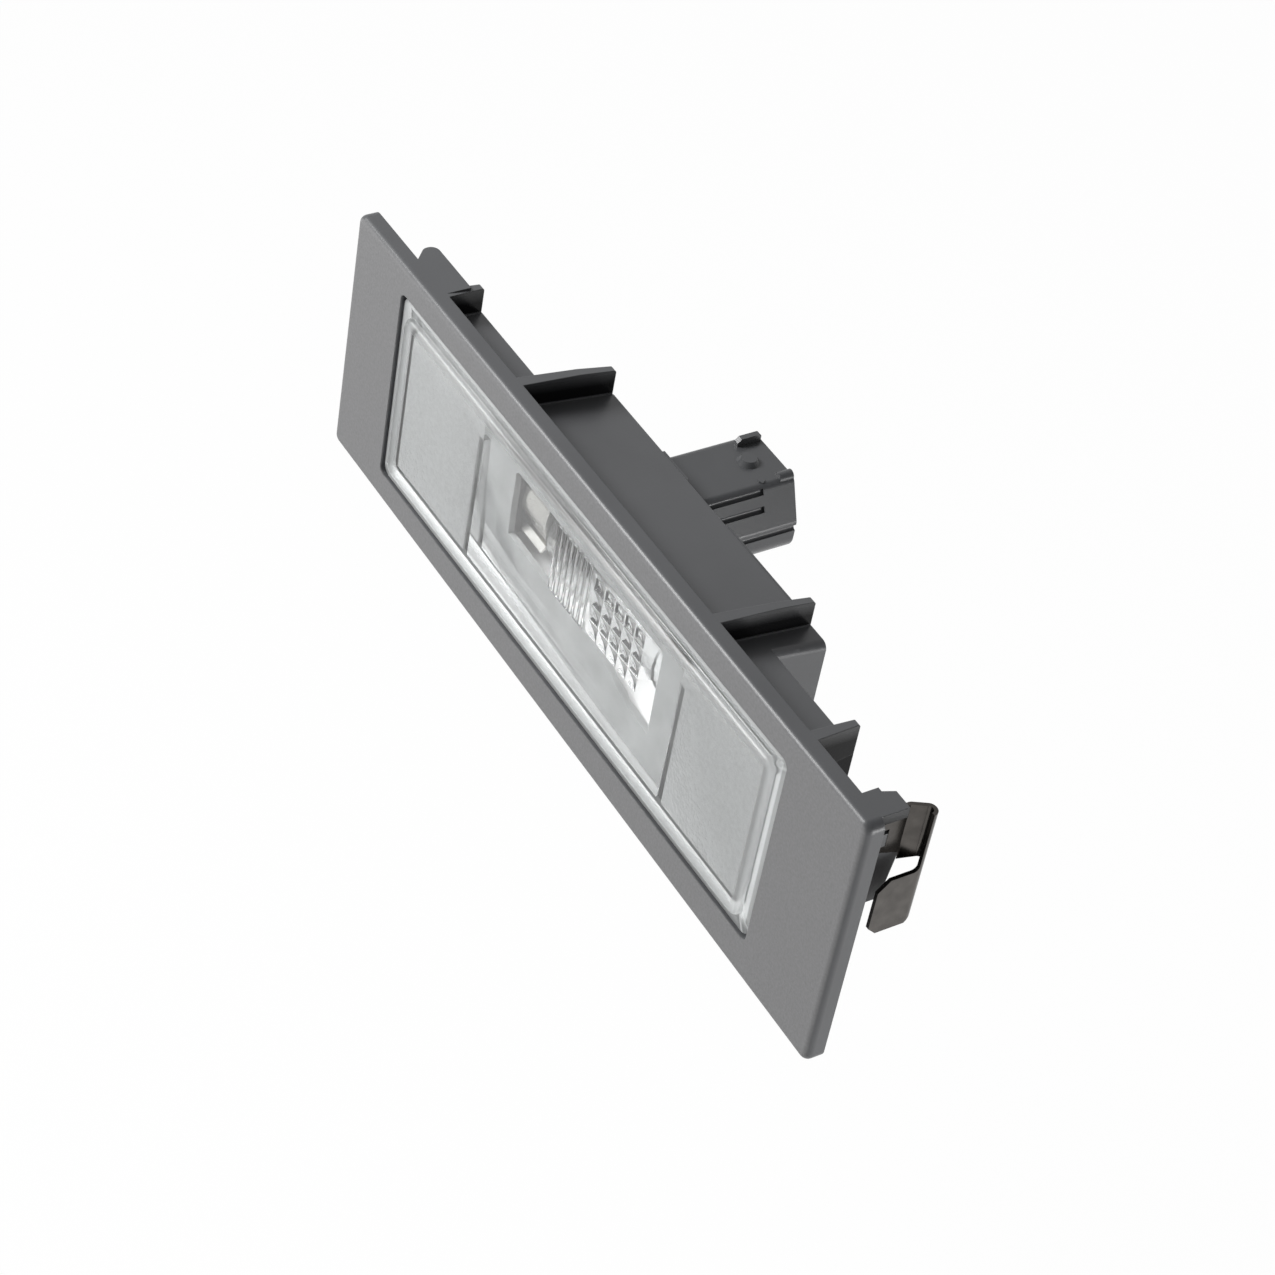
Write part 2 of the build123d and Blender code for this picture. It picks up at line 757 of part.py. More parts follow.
def bulb_cap(end):
    """Metal cap: a short cylinder that closes in a blunt cone, open towards the glass."""
    tip = end * bulb_length / 2
    rim = tip - end * cap_length
    cone = tip - end * cap_cone
    with BuildPart() as piece:
        with BuildSketch(bulb_plane):
            with BuildLine():
                Polyline(
                    (rim, cap_radius),
                    (cone, cap_radius),
                    (tip, cap_tip_radius),
                    (tip, 0),
                    (tip - end * cap_wall, 0),
                    (tip - end * cap_wall, cap_tip_radius - cap_wall / 2),
                    (cone, cap_radius - cap_wall),
                    (rim, cap_radius - cap_wall),
                    close=True,
                )
            make_face()
        revolve(axis=bulb_axis)
    return piece


cap_left = bulb_cap(-1)
cap_left.part.label = "bulb_cap_left"
export_step(cap_left.part, "parts/bulb_cap_left.step")
cap_right = bulb_cap(1)
cap_right.part.label = "bulb_cap_right"
export_step(cap_right.part, "parts/bulb_cap_right.step")

# Filament and the two lead wires that hold it
with BuildPart() as bulb_filament:
    with BuildSketch(Plane.YZ.offset(deep_centre - filament_length / 2)):
        with Locations((bulb_depth, bulb_height)):
            Circle(filament_radius)
    extrude(amount=filament_length)
bulb_filament.part.label = "bulb_filament"
export_step(bulb_filament.part, "parts/bulb_filament.step")
lead_length = (bulb_length - filament_length) / 2 - cap_wall
for name, lead_start in (
    ("bulb_lead_left", bulb_left + cap_wall),
    ("bulb_lead_right", deep_centre + filament_length / 2),
):
    with BuildPart() as lead:
        with BuildSketch(Plane.YZ.offset(lead_start)):
            with Locations((bulb_depth, bulb_height)):
                Circle(lead_radius)
        extrude(amount=lead_length)
    lead.part.label = name
    export_step(lead.part, f"parts/{name}.step")

# Spring clip: a folded strip, cut away so that a band and a leaf are left below
clip_top = bezel_top - holder_tab_thickness - clip_top_gap
clip_bottom = clip_top - clip_width
inner_leg = holder_face + clip_thickness / 2
outer_leg = holder_face + clip_span - clip_thickness / 2
clip_back = clip_depth - clip_thickness / 2
with BuildPart() as spring_clip:
    with BuildSketch(Plane.XY.offset(clip_bottom)) as fold:
        with BuildLine() as fold_line:
            FilletPolyline(
                (inner_leg, clip_root),
                (inner_leg, clip_depth - clip_shoulder),
                (inner_leg + clip_shoulder / 2, clip_back),
                (outer_leg, clip_back),
                (outer_leg, clip_leaf_tip),
                radius=clip_bend_radius,
            )
        trace(fold_line.line, line_width=clip_thickness)
    extrude(amount=clip_width)
    # Outer leg: only the band at the bend and the leaf at the bottom stay
    band_y = clip_depth - clip_band
    leaf_top = clip_bottom + clip_leaf_height
    with BuildSketch(Plane.YZ.offset(outer_leg - clip_thickness)) as leg_cut:
        with BuildLine():
            Polyline(
                (0, clip_bottom),
                (clip_leaf_tip, clip_bottom),
                (clip_leaf_tip, leaf_top - clip_leaf_chamfer),
                (clip_leaf_tip + clip_leaf_chamfer, leaf_top),
                (band_y, leaf_top),
                (band_y, clip_top),
                (0, clip_top),
                close=True,
            )
        make_face()
        fillet(leg_cut.vertices().sort_by_distance((band_y, leaf_top))[0], clip_bend_radius)
    extrude(amount=2 * clip_thickness, mode=Mode.SUBTRACT)
    # Cut corners at the leaf's bottom
    with BuildSketch(Plane.YZ.offset(inner_leg)):
        for corner_y, way in ((clip_leaf_tip, 1), (clip_depth, -1)):
            with BuildLine():
                Polyline(
                    (corner_y, clip_bottom),
                    (corner_y + way * clip_leaf_corner, clip_bottom),
                    (corner_y, clip_bottom + clip_leaf_corner),
                    close=True,
                )
            make_face()
    extrude(amount=clip_span, mode=Mode.SUBTRACT)
    # Inner leg and bend: cut away below the leg, higher up at the band and in front of the holder's shoulder
    leg_bottom = clip_top - clip_leg_height
    with BuildSketch(Plane.XZ.offset(-clip_depth)):
        with BuildLine():
            Polyline(
                (holder_face, clip_bottom),
                (outer_leg - clip_bend_radius, clip_bottom),
                (outer_leg - clip_bend_radius, leg_bottom + clip_leg_rise),
                (holder_face, leg_bottom),
                close=True,
            )
        make_face()
    extrude(amount=clip_depth, mode=Mode.SUBTRACT)
    with BuildSketch(Plane.YZ.offset(holder_face)):
        with BuildLine():
            Polyline(
                (0, clip_bottom),
                (holder_depth, clip_bottom),
                (holder_depth, leg_bottom + clip_leg_rise),
                (0, leg_bottom + clip_leg_rise + clip_leg_front_rise),
                close=True,
            )
        make_face()
    extrude(amount=clip_thickness, mode=Mode.SUBTRACT)
    hole_size = clip_lug_size + 2 * clip_lug_clearance
    with BuildSketch(Plane.YZ.offset(holder_face)):
        with Locations((holder_tab_depth / 2, lug_height_z)):
            Rectangle(hole_size, hole_size)
    extrude(amount=clip_thickness, mode=Mode.SUBTRACT)
spring_clip.part.label = "spring_clip"
export_step(spring_clip.part, "parts/spring_clip.step")
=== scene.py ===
"""Looks of a number plate lamp: black moulded bezel and box, frosted lens, tubular bulb and spring clip."""

import logging
import math
from dataclasses import dataclass, field
from enum import Enum

import bmesh
import bpy
from mathutils import Matrix, Vector


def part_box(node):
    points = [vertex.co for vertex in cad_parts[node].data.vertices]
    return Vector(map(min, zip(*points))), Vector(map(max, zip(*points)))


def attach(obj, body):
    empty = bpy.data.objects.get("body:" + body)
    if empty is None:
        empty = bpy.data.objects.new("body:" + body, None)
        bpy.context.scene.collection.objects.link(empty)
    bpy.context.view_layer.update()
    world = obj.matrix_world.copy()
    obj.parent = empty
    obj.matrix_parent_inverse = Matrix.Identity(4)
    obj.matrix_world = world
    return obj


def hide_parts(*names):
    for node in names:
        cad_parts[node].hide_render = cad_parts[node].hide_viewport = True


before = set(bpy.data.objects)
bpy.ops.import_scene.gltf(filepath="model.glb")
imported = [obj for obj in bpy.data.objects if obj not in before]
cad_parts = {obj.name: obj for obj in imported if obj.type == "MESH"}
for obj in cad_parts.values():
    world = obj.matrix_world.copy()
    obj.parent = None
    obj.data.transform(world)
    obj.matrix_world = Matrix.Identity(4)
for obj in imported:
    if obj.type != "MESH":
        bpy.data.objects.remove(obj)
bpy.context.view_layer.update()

LOG = logging.getLogger("number_plate_lamp")
MM = 0.001
FAR_MM = 99.0
PHOTO_SIDE = 1275


class Slot(Enum):
    """Material slots of the lamp, as its record names them."""

    HOUSING = "housing_plastic"
    LENS = "lens_plastic"
    REFLECTOR = "reflector_plastic"
    CARRIER = "carrier_plastic"
    CLIP = "clip_steel"
    CONTACT = "contact_metal"
    GLASS = "bulb_glass"
    CAP = "cap_metal"
    WIRE = "wire"


NODE_SLOTS = {
    "housing": Slot.HOUSING,
    "lens": Slot.LENS,
    "reflector": Slot.REFLECTOR,
    "bulb_carrier": Slot.CARRIER,
    "spring_clip": Slot.CLIP,
    "contact_left": Slot.CONTACT,
    "contact_right": Slot.CONTACT,
    "bulb_glass": Slot.GLASS,
    "bulb_cap_left": Slot.CAP,
    "bulb_cap_right": Slot.CAP,
    "bulb_filament": Slot.WIRE,
    "bulb_lead_left": Slot.WIRE,
    "bulb_lead_right": Slot.WIRE,
}


def linear(hex_colour: str, level: float = 1.0) -> tuple[float, float, float, float]:
    """Turns an sRGB hex colour to linear RGBA.

    Args:
        hex_colour: Colour such as "#a0b1c2".
        level: Factor on the linear colour.

    Returns:
        The four linear channels, with alpha 1.
    """
    channels = [int(hex_colour[i:i + 2], 16) / 255 for i in (1, 3, 5)]
    low = [c / 12.92 if c <= 0.04045 else ((c + 0.055) / 1.055) ** 2.4 for c in channels]
    return (*(level * c for c in low), 1.0)


def add_node(tree: bpy.types.NodeTree, kind: str, settings: dict | None = None,
             inputs: dict | None = None) -> bpy.types.Node:
    """Adds a node to a tree, with its settings, socket values and links.

    Args:
        tree: Node tree that gets the node.
        kind: Node type, such as "ShaderNodeTexNoise".
        settings: Attributes to set on the node.
        inputs: Socket name or index to a value, or to an output socket to link from.

    Returns:
        The new node.
    """
    node = tree.nodes.new(kind)
    for name, value in (settings or {}).items():
        setattr(node, name, value)
    for name, value in (inputs or {}).items():
        if isinstance(value, bpy.types.NodeSocket):
            tree.links.new(value, node.inputs[name])
        else:
            node.inputs[name].default_value = value
    return node


class Recipe:
    """One material under construction: its tree, shader and place on the object."""

    def __init__(self, name: str) -> None:
        """Starts a node material with a Principled shader.

        Args:
            name: Name of the material.
        """
        self.material = bpy.data.materials.new(name)
        self.material.use_nodes = True
        self.tree = self.material.node_tree
        self.tree.nodes.clear()
        self.shader = add_node(self.tree, "ShaderNodeBsdfPrincipled")
        self.output = add_node(self.tree, "ShaderNodeOutputMaterial",
                               inputs={"Surface": self.shader.outputs["BSDF"]})
        self.place = add_node(self.tree, "ShaderNodeTexCoord").outputs["Object"]
        self.axes = add_node(self.tree, "ShaderNodeSeparateXYZ", inputs={"Vector": self.place})

    def maths(self, operation: str, *values: float | bpy.types.NodeSocket) -> bpy.types.NodeSocket:
        """Works out one step of arithmetic.

        Args:
            operation: Name of the Math node's operation.
            values: Its numbers or sockets.

        Returns:
            The result's socket.
        """
        node = add_node(self.tree, "ShaderNodeMath", {"operation": operation}, dict(enumerate(values)))
        return node.outputs[0]

    def band(self, value: bpy.types.NodeSocket, low_mm: float, high_mm: float,
             soft_mm: float = 0.05) -> bpy.types.NodeSocket:
        """Masks where a length in metres lies between two limits.

        Args:
            value: The length.
            low_mm: Lower limit in millimetres.
            high_mm: Upper limit in millimetres.
            soft_mm: Width of the soft edge in millimetres.

        Returns:
            1 inside the limits and 0 outside.
        """
        rise = add_node(self.tree, "ShaderNodeMapRange", {"interpolation_type": "SMOOTHSTEP"}, {
            "Value": value, "From Min": (low_mm - soft_mm) * MM, "From Max": (low_mm + soft_mm) * MM})
        fall = add_node(self.tree, "ShaderNodeMapRange", {"interpolation_type": "SMOOTHSTEP"}, {
            "Value": value, "From Min": (high_mm - soft_mm) * MM, "From Max": (high_mm + soft_mm) * MM,
            "To Min": 1.0, "To Max": 0.0})
        return self.maths("MULTIPLY", rise.outputs["Result"], fall.outputs["Result"])

    def noise(self, size_mm: float, detail: float = 2.0,
              stretch: tuple[float, float, float] = (1.0, 1.0, 1.0)) -> bpy.types.NodeSocket:
        """Adds a noise of a real size.

        Args:
            size_mm: Size of one grain in millimetres.
            detail: Octaves of the noise.
            stretch: Scale of the pattern along each axis.

        Returns:
            The noise's value, about 0.5 in the middle.
        """
        turned = add_node(self.tree, "ShaderNodeMapping", inputs={"Vector": self.place, "Scale": stretch})
        node = add_node(self.tree, "ShaderNodeTexNoise", inputs={
            "Vector": turned.outputs["Vector"], "Scale": 1 / (size_mm * MM), "Detail": detail})
        return node.outputs["Fac"]

    def blend(self, mask: bpy.types.NodeSocket, off: tuple | float,
              on: tuple | float) -> bpy.types.NodeSocket:
        """Mixes two colours or two numbers by a mask.

        Args:
            mask: 0 for the first, 1 for the second.
            off: Value, or socket, where the mask is 0.
            on: Value, or socket, where the mask is 1.

        Returns:
            The mixed value's socket.
        """
        plain = isinstance(on, float)
        node = add_node(self.tree, "ShaderNodeMix", {"data_type": "FLOAT" if plain else "RGBA"})
        first = 2 if plain else 6
        for index, value in ((0, mask), (first, off), (first + 1, on)):
            if isinstance(value, bpy.types.NodeSocket):
                self.tree.links.new(value, node.inputs[index])
            else:
                node.inputs[index].default_value = value
        return node.outputs[0 if plain else 2]

    def mottle(self, mask: bpy.types.NodeSocket, hex_colour: str, share: float) -> bpy.types.NodeSocket:
        """Varies one colour by a mask, from darker to lighter.

        Args:
            mask: 0 for the darkest, 1 for the lightest.
            hex_colour: The colour in the middle.
            share: How far it varies to each side, as a share of the colour.

        Returns:
            The varied colour's socket.
        """
        return self.blend(mask, linear(hex_colour, 1 - share), linear(hex_colour, 1 + share))

    def bump(self, height: bpy.types.NodeSocket, depth_mm: float, strength: float,
             under: bpy.types.NodeSocket | None = None) -> bpy.types.NodeSocket:
        """Turns a height to a normal.

        Args:
            height: The height, from 0 to 1.
            depth_mm: Height of the relief in millimetres.
            strength: Strength of the bump, from 0 to 1.
            under: Normal that the bump is laid on.

        Returns:
            The new normal's socket.
        """
        inputs = {"Height": height, "Distance": depth_mm * MM, "Strength": strength}
        if under is not None:
            inputs["Normal"] = under
        return add_node(self.tree, "ShaderNodeBump", inputs=inputs).outputs["Normal"]

    def let_light_in(self) -> None:
        """Lets the lamps' light pass straight through, as thin clear pieces do."""
        path = add_node(self.tree, "ShaderNodeLightPath")
        clear = add_node(self.tree, "ShaderNodeBsdfTransparent")
        mix = add_node(self.tree, "ShaderNodeMixShader", inputs={
            0: path.outputs["Is Shadow Ray"], 1: self.shader.outputs["BSDF"], 2: clear.outputs["BSDF"]})
        self.tree.links.new(mix.outputs["Shader"], self.output.inputs["Surface"])

    def feed(self, **sockets: float | tuple | bpy.types.NodeSocket) -> None:
        """Sets or links the shader's inputs.

        Args:
            sockets: Input name with underscores for spaces, and its value or source.
        """
        for name, value in sockets.items():
            socket = self.shader.inputs[name.replace("_", " ")]
            if isinstance(value, bpy.types.NodeSocket):
                self.tree.links.new(value, socket)
            else:
                socket.default_value = value


@dataclass(frozen=True)
class HousingPlastic:
    """Black polycarbonate blend, moulded.

    The bezel's face is grained and painted lighter than the walls: partly its grain, partly painted light
    from the front. The walls are smoother and darker. The ribs' flat sides towards the clip end are
    painted near black, darkest at the root: painted shade. The grain is drawn coarser than the real one,
    which would be too fine to show.
    """

    name: str = "housing_polycarbonate_blend_moulded"
    # partly grain, partly painted light: the bezel's face is lighter than the walls of the same plastic
    face_grain_and_painted_light: str = "#79797a"
    walls: str = "#535456"
    # painted shade: near-black colour on the ribs' sides and the tray's end towards the clip
    rib_painted_shade: str = "#111112"
    face_rough: float = 0.55
    wall_rough: float = 0.36
    rib_rough: float = 0.22
    top_at_bezel_mm: float = 11.95
    top_slope: float = 0.167
    top_margin_mm: float = 0.2
    # painted shade fades from the rib root (full) to the tip (a share of it)
    rib_height_mm: float = 2.8
    rib_root_mm: float = 1.4
    rib_tip_painted_shade_share: float = 0.55
    rib_shine: float = 0.08
    wall_shine: float = 0.5
    sideways_from: float = 0.4
    sideways_to: float = 0.8
    tray_end_mm: float = 35.65
    tray_end_reach_mm: float = 0.6
    dark_from_z_mm: float = 4.0
    dark_soft_mm: float = 4.0
    bezel_back_mm: float = 0.1
    deep_rear_mm: float = 11.4
    face_edge_mm: float = -1.85
    cloud_mm: float = 11.0
    cloudy: float = 0.15
    speckled: float = 0.2
    grain_mm: float = 0.28
    grain_depth_mm: float = 0.03
    grain_strength: float = 0.8
    wall_grain: float = 0.25
    round_mm: float = 0.14
    edge_soft_mm: float = 0.1

    def paint_shade_on_sides(self, mix: Recipe, above: bpy.types.NodeSocket) -> bpy.types.NodeSocket:
        """Masks where shade is painted: the flat sides of the ribs and the tray's end that face the clip.

        Args:
            mix: The material under construction.
            above: Height over the box's sloping top, measured at the bezel.

        Returns:
            1 at the ribs' roots, less at their tips and 0 elsewhere.
        """
        x, y, z = (mix.axes.outputs[name] for name in "XYZ")
        on_top = mix.band(above, self.top_at_bezel_mm + self.top_margin_mm, FAR_MM, self.edge_soft_mm)
        on_end = mix.maths("MULTIPLY", mix.band(z, self.dark_from_z_mm, FAR_MM, self.dark_soft_mm),
                           mix.band(x, self.tray_end_mm - self.tray_end_reach_mm,
                                    self.tray_end_mm + self.tray_end_reach_mm))
        normal = add_node(mix.tree, "ShaderNodeNewGeometry").outputs["Normal"]
        facing = add_node(mix.tree, "ShaderNodeSeparateXYZ", inputs={"Vector": normal})
        sideways = add_node(mix.tree, "ShaderNodeMapRange", inputs={
            "Value": facing.outputs["X"], "From Min": self.sideways_from, "From Max": self.sideways_to})
        fade = add_node(mix.tree, "ShaderNodeMapRange", inputs={
            "Value": above, "From Min": (self.top_at_bezel_mm + self.rib_root_mm) * MM,
            "From Max": (self.top_at_bezel_mm + self.rib_height_mm) * MM,
            "To Min": 1.0, "To Max": self.rib_tip_painted_shade_share})
        rib_painted_shade = mix.maths("MULTIPLY", mix.maths("MAXIMUM", on_top, on_end),
                         mix.band(y, self.bezel_back_mm, self.deep_rear_mm))
        rib_painted_shade = mix.maths("MULTIPLY", rib_painted_shade, sideways.outputs["Result"])
        return mix.maths("MULTIPLY", rib_painted_shade, fade.outputs["Result"])

    def build(self) -> bpy.types.Material:
        """Makes the material.

        Returns:
            The finished material.
        """
        mix = Recipe(self.name)
        y, z = mix.axes.outputs["Y"], mix.axes.outputs["Z"]
        grained = mix.band(y, -FAR_MM, self.face_edge_mm, self.edge_soft_mm)
        cloud = mix.noise(self.cloud_mm, 3.0)
        walls = mix.mottle(cloud, self.walls, self.cloudy)
        above = mix.maths("ADD", z, mix.maths("MULTIPLY", y, self.top_slope))
        # painted shade on the ribs' sides and the tray's end, facing the clip
        rib_painted_shade = self.paint_shade_on_sides(mix, above)
        walls = mix.blend(rib_painted_shade, walls, linear(self.rib_painted_shade))
        speckle = mix.noise(self.grain_mm, 2.0)
        # face colour: partly its grain, partly painted light from the front
        face_grain_and_painted_light = mix.mottle(speckle, self.face_grain_and_painted_light, self.speckled)
        edges = add_node(mix.tree, "ShaderNodeBevel", {"samples": 4}, {"Radius": self.round_mm * MM})
        relief = mix.maths("MULTIPLY", speckle, mix.blend(grained, self.wall_grain, 1.0))
        rough = mix.blend(rib_painted_shade, self.wall_rough, self.rib_rough)
        mix.feed(Base_Color=mix.blend(grained, walls, face_grain_and_painted_light),
                 Roughness=mix.blend(grained, rough, self.face_rough),
                 Specular_IOR_Level=mix.blend(rib_painted_shade, self.wall_shine, self.rib_shine),
                 Normal=mix.bump(relief, self.grain_depth_mm, self.grain_strength,
                                 edges.outputs["Normal"]))
        return mix.material


@dataclass(frozen=True)
class LensPlastic:
    """Clear polycarbonate, moulded.

    The window over the bulb is polished and shows what lies behind. The end fields are stippled
    and look pale grey and grainy. A light band is painted round the back, where the weld lies, as a
    painted highlight inside the border. The rim outside it is cloudy and grey. The stipple is drawn
    coarser than the real one, which would be too fine to show.
    """

    name: str = "lens_polycarbonate_moulded"
    clear: str = "#f1f2f2"
    field_tone: str = "#b0b2b2"
    field_through: float = 0.3
    # painted highlight: pale band round the back, inside the border
    weld_band_painted_highlight_tone: str = "#d2d4d4"
    middle_x_mm: float = -0.6
    middle_z_mm: float = 0.35
    half_length_mm: float = 35.95
    half_height_mm: float = 11.45
    window_left_mm: float = -19.2
    window_right_mm: float = 18.4
    window_half_height_mm: float = 9.3
    # edges of the painted highlight band, and how little light it lets through
    weld_from_mm: float = 1.0
    weld_to_mm: float = 2.45
    weld_soft_mm: float = 0.12
    weld_through: float = 0.05
    rim_through: float = 0.12
    rim_tone: str = "#bcbebe"
    front_mm: float = -2.5
    back_mm: float = -0.6
    border_mm: float = 2.6
    border_soft_mm: float = 0.3
    flange_mm: float = 1.0
    border_rough: float = 0.4
    window_rough: float = 0.04
    field_rough: float = 0.4
    face_margin_mm: float = 0.05
    back_margin_mm: float = 0.08
    depth_soft_mm: float = 0.02
    stipple_mm: float = 0.38
    stippled: float = 0.2
    stipple_depth_mm: float = 0.04
    stipple_strength: float = 0.6

    def build(self) -> bpy.types.Material:
        """Makes the material.

        Returns:
            The finished material.
        """
        mix = Recipe(self.name)
        x, y, z = (mix.axes.outputs[name] for name in "XYZ")
        across = mix.maths("ABSOLUTE", mix.maths("SUBTRACT", z, self.middle_z_mm * MM))
        along = mix.maths("ABSOLUTE", mix.maths("SUBTRACT", x, self.middle_x_mm * MM))
        inset = mix.maths("MINIMUM", mix.maths("SUBTRACT", self.half_length_mm * MM, along),
                          mix.maths("SUBTRACT", self.half_height_mm * MM, across))
        window = mix.maths("MULTIPLY", mix.band(x, self.window_left_mm, self.window_right_mm),
                           mix.band(across, -FAR_MM, self.window_half_height_mm))
        behind = mix.band(y, self.back_mm - self.back_margin_mm, FAR_MM, self.depth_soft_mm)
        behind_face = mix.band(y, self.front_mm + self.face_margin_mm, FAR_MM, self.depth_soft_mm)
        # painted highlight band round the back, inside the border
        weld_band_painted_highlight = mix.maths("MULTIPLY", behind,
                         mix.band(inset, self.weld_from_mm, self.weld_to_mm, self.weld_soft_mm))
        rim = mix.maths("MULTIPLY", behind_face,
                        mix.band(inset, -self.flange_mm, self.weld_from_mm, self.weld_soft_mm))
        past_rim = mix.band(inset, self.weld_from_mm, FAR_MM, self.weld_soft_mm)
        frosted = mix.maths("MULTIPLY", mix.maths("MULTIPLY", behind, past_rim),
                            mix.maths("SUBTRACT", 1.0, window))
        border = mix.band(inset, -self.flange_mm, self.border_mm, self.border_soft_mm)
        stipple = mix.noise(self.stipple_mm, 1.5)
        grainy = mix.mottle(stipple, self.field_tone, self.stippled)
        tone = mix.blend(frosted, linear(self.clear), grainy)
        tone = mix.blend(rim, mix.blend(weld_band_painted_highlight, tone, linear(self.weld_band_painted_highlight_tone)), linear(self.rim_tone))
        through = mix.blend(frosted, 1.0, self.field_through)
        through = mix.blend(rim, mix.blend(weld_band_painted_highlight, through, self.weld_through), self.rim_through)
        smooth = mix.blend(border, self.window_rough, self.border_rough)
        mix.feed(Base_Color=tone, Transmission_Weight=through, IOR=1.585,
                 Roughness=mix.blend(frosted, smooth, self.field_rough),
                 Normal=mix.bump(mix.maths("MULTIPLY", stipple, frosted), self.stipple_depth_mm,
                                 self.stipple_strength))
        mix.let_light_in()
        return mix.material


@dataclass(frozen=True)
class ReflectorPlastic:
    """Pale grey polycarbonate, moulded satin.

    Its front plate is satin with no sharp reflection; the clouding on it is a painted reflection.
    The well round the bulb is painted whiter, painted light that makes it brighter although it lies
    deeper. The dimples are drawn coarser than real ones, which would be too fine to show.
    """

    name: str = "reflector_polycarbonate_satin"
    tone: str = "#989a9a"
    # painted light: the well is whiter than the plate of the same plastic
    well_painted_light: str = "#fafafa"
    well_from_mm: float = 1.1
    well_soft_mm: float = 0.2
    rough: float = 0.38
    # painted reflection: size and strength of the clouds on the plate
    cloud_mm: float = 3.4
    cloudy: float = 0.45
    dimple_mm: float = 0.35
    dimple_depth_mm: float = 0.01
    dimple_strength: float = 0.4

    def build(self) -> bpy.types.Material:
        """Makes the material.

        Returns:
            The finished material.
        """
        mix = Recipe(self.name)
        # painted reflection: broad clouds on the plate stand in for reflections
        cloud = mix.noise(self.cloud_mm, 3.0)
        plate_painted_reflection = mix.mottle(cloud, self.tone, self.cloudy)
        # painted light in the well, deeper than well_from_mm
        well_painted_light_mask = mix.band(mix.axes.outputs["Y"], self.well_from_mm, FAR_MM, self.well_soft_mm)
        mix.feed(Base_Color=mix.blend(well_painted_light_mask, plate_painted_reflection, linear(self.well_painted_light)),
                 Roughness=self.rough,
                 Normal=mix.bump(mix.noise(self.dimple_mm, 1.0), self.dimple_depth_mm, self.dimple_strength))
        return mix.material


@dataclass(frozen=True)
class CarrierPlastic:
    """Black polyamide, moulded smooth: dark grey with a clear sheen on its edges.

    Its grain is drawn coarser than the real one, which would be too fine to show.
    """

    name: str = "carrier_polyamide_moulded"
    tone: str = "#4c4d4f"
    rough: float = 0.27
    cloud_mm: float = 7.0
    cloudy: float = 0.15
    grain_mm: float = 0.3
    grain_depth_mm: float = 0.008
    grain_strength: float = 0.5

    def build(self) -> bpy.types.Material:
        """Makes the material.

        Returns:
            The finished material.
        """
        mix = Recipe(self.name)
        cloud = mix.noise(self.cloud_mm, 3.0)
        mix.feed(Base_Color=mix.mottle(cloud, self.tone, self.cloudy), Roughness=self.rough,
                 Normal=mix.bump(mix.noise(self.grain_mm, 2.0), self.grain_depth_mm, self.grain_strength))
        return mix.material


@dataclass(frozen=True)
class LampGlass:
    """Drawn soda glass: clear and smooth, with a faint wave along the tube."""

    name: str = "bulb_soda_glass_drawn"
    tone: str = "#fbfcfc"
    rough: float = 0.02
    wave_mm: float = 3.0
    wave_stretch: tuple[float, float, float] = (0.3, 1.0, 1.0)
    wave_depth_mm: float = 0.02
    wave_strength: float = 0.15

    def build(self) -> bpy.types.Material:
        """Makes the material.

        Returns:
            The finished material.
        """
        mix = Recipe(self.name)
        wave = mix.noise(self.wave_mm, 1.0, self.wave_stretch)
        mix.feed(Base_Color=linear(self.tone), Transmission_Weight=1.0, IOR=1.5, Roughness=self.rough,
                 Normal=mix.bump(wave, self.wave_depth_mm, self.wave_strength))
        mix.let_light_in()
        return mix.material


@dataclass(frozen=True)
class StripMetal:
    """Rolled or drawn metal: fine lines along one way, which stretch the reflections across them.

    The lines are drawn coarser than the real ones, which would be too fine to show.
    """

    name: str
    tone: str
    rough: float
    line_mm: float = 0.25
    line_depth_mm: float = 0.01
    line_strength: float = 0.35
    line_share: float = 0.2
    stretch: tuple[float, float, float] = (1.0, 1.0, 0.12)
    cloud_mm: float = 4.0
    cloudy: float = 0.1

    def build(self) -> bpy.types.Material:
        """Makes the material.

        Returns:
            The finished material.
        """
        mix = Recipe(self.name)
        lines = mix.noise(self.line_mm, 3.0, self.stretch)
        cloud = mix.noise(self.cloud_mm, 2.0)
        rough = mix.blend(lines, (1 - self.line_share) * self.rough, (1 + self.line_share) * self.rough)
        mix.feed(Base_Color=mix.mottle(cloud, self.tone, self.cloudy), Metallic=1.0, Roughness=rough,
                 Normal=mix.bump(lines, self.line_depth_mm, self.line_strength))
        return mix.material


@dataclass
class Finishes:
    """The finish of each material slot."""

    made: dict[Slot, bpy.types.Material] = field(default_factory=dict)

    def build(self) -> None:
        """Makes every finish once."""
        recipes = {
            Slot.HOUSING: HousingPlastic(),
            Slot.LENS: LensPlastic(),
            Slot.REFLECTOR: ReflectorPlastic(),
            Slot.CARRIER: CarrierPlastic(),
            # Phosphated spring steel: dark grey and clouded, with a dull shine on the bends
            Slot.CLIP: StripMetal("clip_spring_steel_phosphated", "#575451", 0.2,
                                  cloud_mm=1.6, cloudy=0.5),
            # Tinned brass strip: bright and slightly milky
            Slot.CONTACT: StripMetal("contact_brass_tinned_rolled", "#d9d8d4", 0.22),
            # Nickel plate over a drawn cap: bright with sharp reflections
            Slot.CAP: StripMetal("cap_nickel_plated_drawn", "#d3d1cc", 0.16),
            # Drawn nickel wire: mid grey, its lines run along the wire
            Slot.WIRE: StripMetal("wire_nickel_drawn", "#a9a8a6", 0.3,
                                  line_mm=0.1, stretch=(0.1, 1.0, 1.0)),
            Slot.GLASS: LampGlass(),
        }
        for slot, recipe in recipes.items():
            self.made[slot] = recipe.build()
            LOG.info("finish %s", recipe.name)


